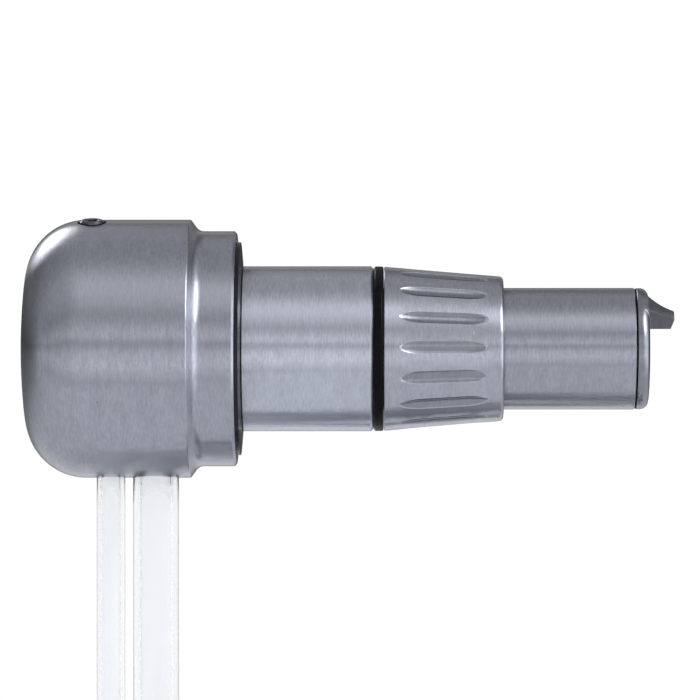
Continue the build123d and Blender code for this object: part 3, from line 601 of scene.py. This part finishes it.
# ---------------------------------------------------------------- finishes of the carried-over nodes
def finish_nodes():
    bell = turned_metal("bell_steel", 0.335)
    barrel = turned_metal("barrel_steel", 0.45)
    collar = fluted_metal("collar_steel", 0.37)
    nose = turned_metal("nose_steel", 0.33)
    dark = polished_metal("dark_steel", 0.2, roughness=0.2)
    screw = polished_metal("screw_steel", 0.1, roughness=0.2)
    ground = polished_metal("bearing_steel", 0.6, roughness=0.09)
    sprung = polished_metal("spring_steel", 0.4, roughness=0.2)
    alloy = turned_metal("turned_alloy", 0.62, roughness=0.25, tint=(1.0, 1.01, 1.03))
    nickel = turned_metal("nickel_on_x", 0.62, roughness=0.2, tint=(1.0, 0.97, 0.9))
    nickel_y = turned_metal("nickel_on_y", 0.62, axis="Y", roughness=0.2, tint=(1.0, 0.97, 0.9))
    nickel_z = turned_metal("nickel_on_z", 0.62, axis="Z", roughness=0.2, tint=(1.0, 0.97, 0.9))
    rubber = black_rubber()
    cage = moulded_plastic("cage_plastic", (0.34, 0.19, 0.08), (0.42, 0.25, 0.11))
    washer = moulded_plastic("washer_plastic", (0.74, 0.74, 0.71), (0.82, 0.82, 0.8))
    finishes = {
        bell: ("head_shell", "hose_manifold"),
        barrel: ("barrel",),
        collar: ("grip_collar",),
        nose: ("nose_sleeve", "quill", "lock_sleeve", "bearing_cap"),
        lock_ring_metal(): ("lock_ring",),
        dark: ("lock_keys", "spindle"),
        polished_metal("flange_steel", 0.03, roughness=0.3): ("swivel_stem",),
        screw: ("set_screw",),
        ground: ("drive_pin", "rear_bearing_outer", "front_bearing_outer", "rear_bearing_inner",
                 "front_bearing_inner", "rear_bearing_balls", "front_bearing_balls"),
        sprung: ("lock_spring", "collar_circlip", "stem_circlip", "preload_washer"),
        alloy: ("nozzle_ring", "turbine_liner", "turbine_wheel", "spindle_spacer", "spindle_nut"),
        nickel: ("supply_nut", "supply_plug"),
        nickel_y: ("silencer_barb",),
        nickel_z: ("supply_barb", "exhaust_barb"),
        sintered_bronze(): ("silencer_cap",),
        rubber: ("barrel_o_ring", "stem_o_rings", "dust_seal", "lock_seal"),
        cage: ("rear_bearing_cage", "front_bearing_cage"),
        washer: ("front_thrust_washer", "rear_thrust_washer"),
    }
    for material, names in finishes.items():
        for name in names:
            for slot in NODES[name].material_slots:
                slot.material = material


# ---------------------------------------------------------------- studio
# Light from each direction round the handpiece, in degrees: 0 comes from the camera's side,
# 90 from above, 180 from behind and -90 from below. The levels are listed to follow the
# bright and dark bands that were measured round the metal in the photograph.
ROUND_LIGHT = [
    (-180, 0.15),
    (-162, 0.32),
    (-136, 0.44),
    (-118, 0.54),
    (-100, 0.82),
    (-88, 0.95),
    (-60, 1.0),
    (-37, 1.0),
    (-31, 0.5),
    (-26, 1.02),
    (-18, 1.15),
    (-4, 1.0),
    (5, 0.6),
    (10, 1.0),
    (14, 0.98),
    (30, 0.56),
    (40, 0.64),
    (60, 0.78),
    (70, 0.76),
    (88, 0.56),
    (118, 0.5),
    (138, 0.2),
    (148, 0.22),
    (157, 0.42),
    (166, 0.2),
    (180, 0.08),
]
# Soft boxes: the direction that each one shines from, the angles where it is still full and where
# it ends, and how bright it is.
SOFT_BOXES = [
    ((0.64, -0.42, 0.645), 8, 24, 4.5),
    ((-0.42, 0.72, 0.55), 3, 18, 4.0),
]
LEFT_SHADE = 0.22
RIGHT_GLOW = 1.1
BACKDROP = 1.02


def studio_world():
    world = bpy.data.worlds.new("studio")
    world.use_nodes = True
    bpy.context.scene.world = world
    tree = world.node_tree
    background = tree.nodes["Background"]

    def node(kind, **settings):
        made = tree.nodes.new("ShaderNode" + kind)
        for name, value in settings.items():
            setattr(made, name, value)
        return made

    def calculate(operation, *values):
        made = node("Math", operation=operation)
        for socket, value in zip(made.inputs, values):
            if isinstance(value, (int, float)):
                socket.default_value = value
            else:
                tree.links.new(value, socket)
        return made.outputs["Value"]

    def ease(value, start, end, level=1.0):
        """Rises smoothly from 0 at start to level at end."""
        spread = node("MapRange", interpolation_type="SMOOTHSTEP")
        tree.links.new(value, spread.inputs["Value"])
        spread.inputs["From Min"].default_value = start
        spread.inputs["From Max"].default_value = end
        spread.inputs["To Max"].default_value = level
        return spread.outputs["Result"]

    towards = node("TexCoord").outputs["Generated"]
    split = node("SeparateXYZ")
    tree.links.new(towards, split.inputs["Vector"])
    across, away, up = (split.outputs[name] for name in "XYZ")
    angle = calculate("ARCTAN2", up, calculate("MULTIPLY", away, -1))
    share = calculate("MULTIPLY_ADD", angle, 1 / (2 * math.pi), 0.5)
    ramp = node("ValToRGB")
    tree.links.new(share, ramp.inputs["Fac"])
    stops = ramp.color_ramp.elements
    while len(stops) < len(ROUND_LIGHT):
        stops.new(0.5)
    for stop, (degrees, level) in zip(stops, ROUND_LIGHT):
        stop.position = (degrees + 180) / 360
        stop.color = (level, level, level, 1)

    def soft_box(direction, core, reach, level):
        facing = node("VectorMath", operation="DOT_PRODUCT")
        tree.links.new(towards, facing.inputs[0])
        facing.inputs[1].default_value = Vector(direction).normalized()
        start, end = math.cos(math.radians(reach)), math.cos(math.radians(core))
        return ease(facing.outputs["Value"], start, end, level)

    left = ease(calculate("MULTIPLY", across, -1), 0.15, 0.5, LEFT_SHADE)
    right = calculate("MULTIPLY", ease(across, 0.35, 0.8, RIGHT_GLOW), ease(away, 0.4, 0.0))
    lit = calculate("MULTIPLY", ramp.outputs["Color"], calculate("SUBTRACT", 1, left))
    lit = calculate("ADD", lit, right)
    for box in SOFT_BOXES:
        lit = calculate("ADD", lit, soft_box(*box))
    paths = node("LightPath")
    straight = calculate(
        "MAXIMUM", paths.outputs["Is Camera Ray"], paths.outputs["Is Transmission Ray"]
    )
    seen = node("Mix")
    tree.links.new(straight, seen.inputs["Factor"])
    tree.links.new(lit, seen.inputs[2])
    seen.inputs[3].default_value = BACKDROP
    tree.links.new(seen.outputs[0], background.inputs["Color"])


FLOOR_FADE = (0.13, 0.42)


def add_floor():
    """Pale round table top under the coils, fading out towards its rim."""
    rings = 24
    steps = 96
    verts = [(0, 0, 0)]
    faces = []
    for ring in range(1, rings + 1):
        radius = FLOOR_FADE[1] * ring / rings
        for step in range(steps):
            turn = 2 * math.pi * step / steps
            verts.append((radius * math.cos(turn), radius * math.sin(turn), 0))
    for step in range(steps):
        after = (step + 1) % steps
        faces.append((0, 1 + step, 1 + after))
        for ring in range(rings - 1):
            low = 1 + ring * steps
            high = low + steps
            faces.append((low + step, high + step, high + after, low + after))
    mesh = bpy.data.meshes.new("floor")
    mesh.from_pydata(verts, [], faces)
    floor = bpy.data.objects.new("floor", mesh)
    floor.location = (COIL_X, COIL_Y, FLOOR_Z)
    bpy.context.scene.collection.objects.link(floor)
    shader = Shader("pale_table")
    shader.set(Roughness=0.6)
    cloud = shader.object_noise((12, 12, 12), detail=2)
    pale = shader.blend(shader.remap(cloud, 0, 1), (0.86, 0.87, 0.88), (0.9, 0.905, 0.91))
    shader.link(pale, shader.surface.inputs["Base Color"])
    place = shader.add("TexCoord")
    reach = shader.add("VectorMath", operation="LENGTH")
    shader.link(place.outputs["Object"], reach.inputs[0])
    fade = shader.remap(reach.outputs["Value"], 1, 0, FLOOR_FADE)
    shader.link(fade, shader.surface.inputs["Alpha"])
    mesh.materials.append(shader.material)


add_camera()
studio_world()
add_floor()
add_hoses(clear_hose_material(), add_straps(woven_strap()))
finish_nodes()

bpy.context.scene.view_settings.view_transform = "Standard"
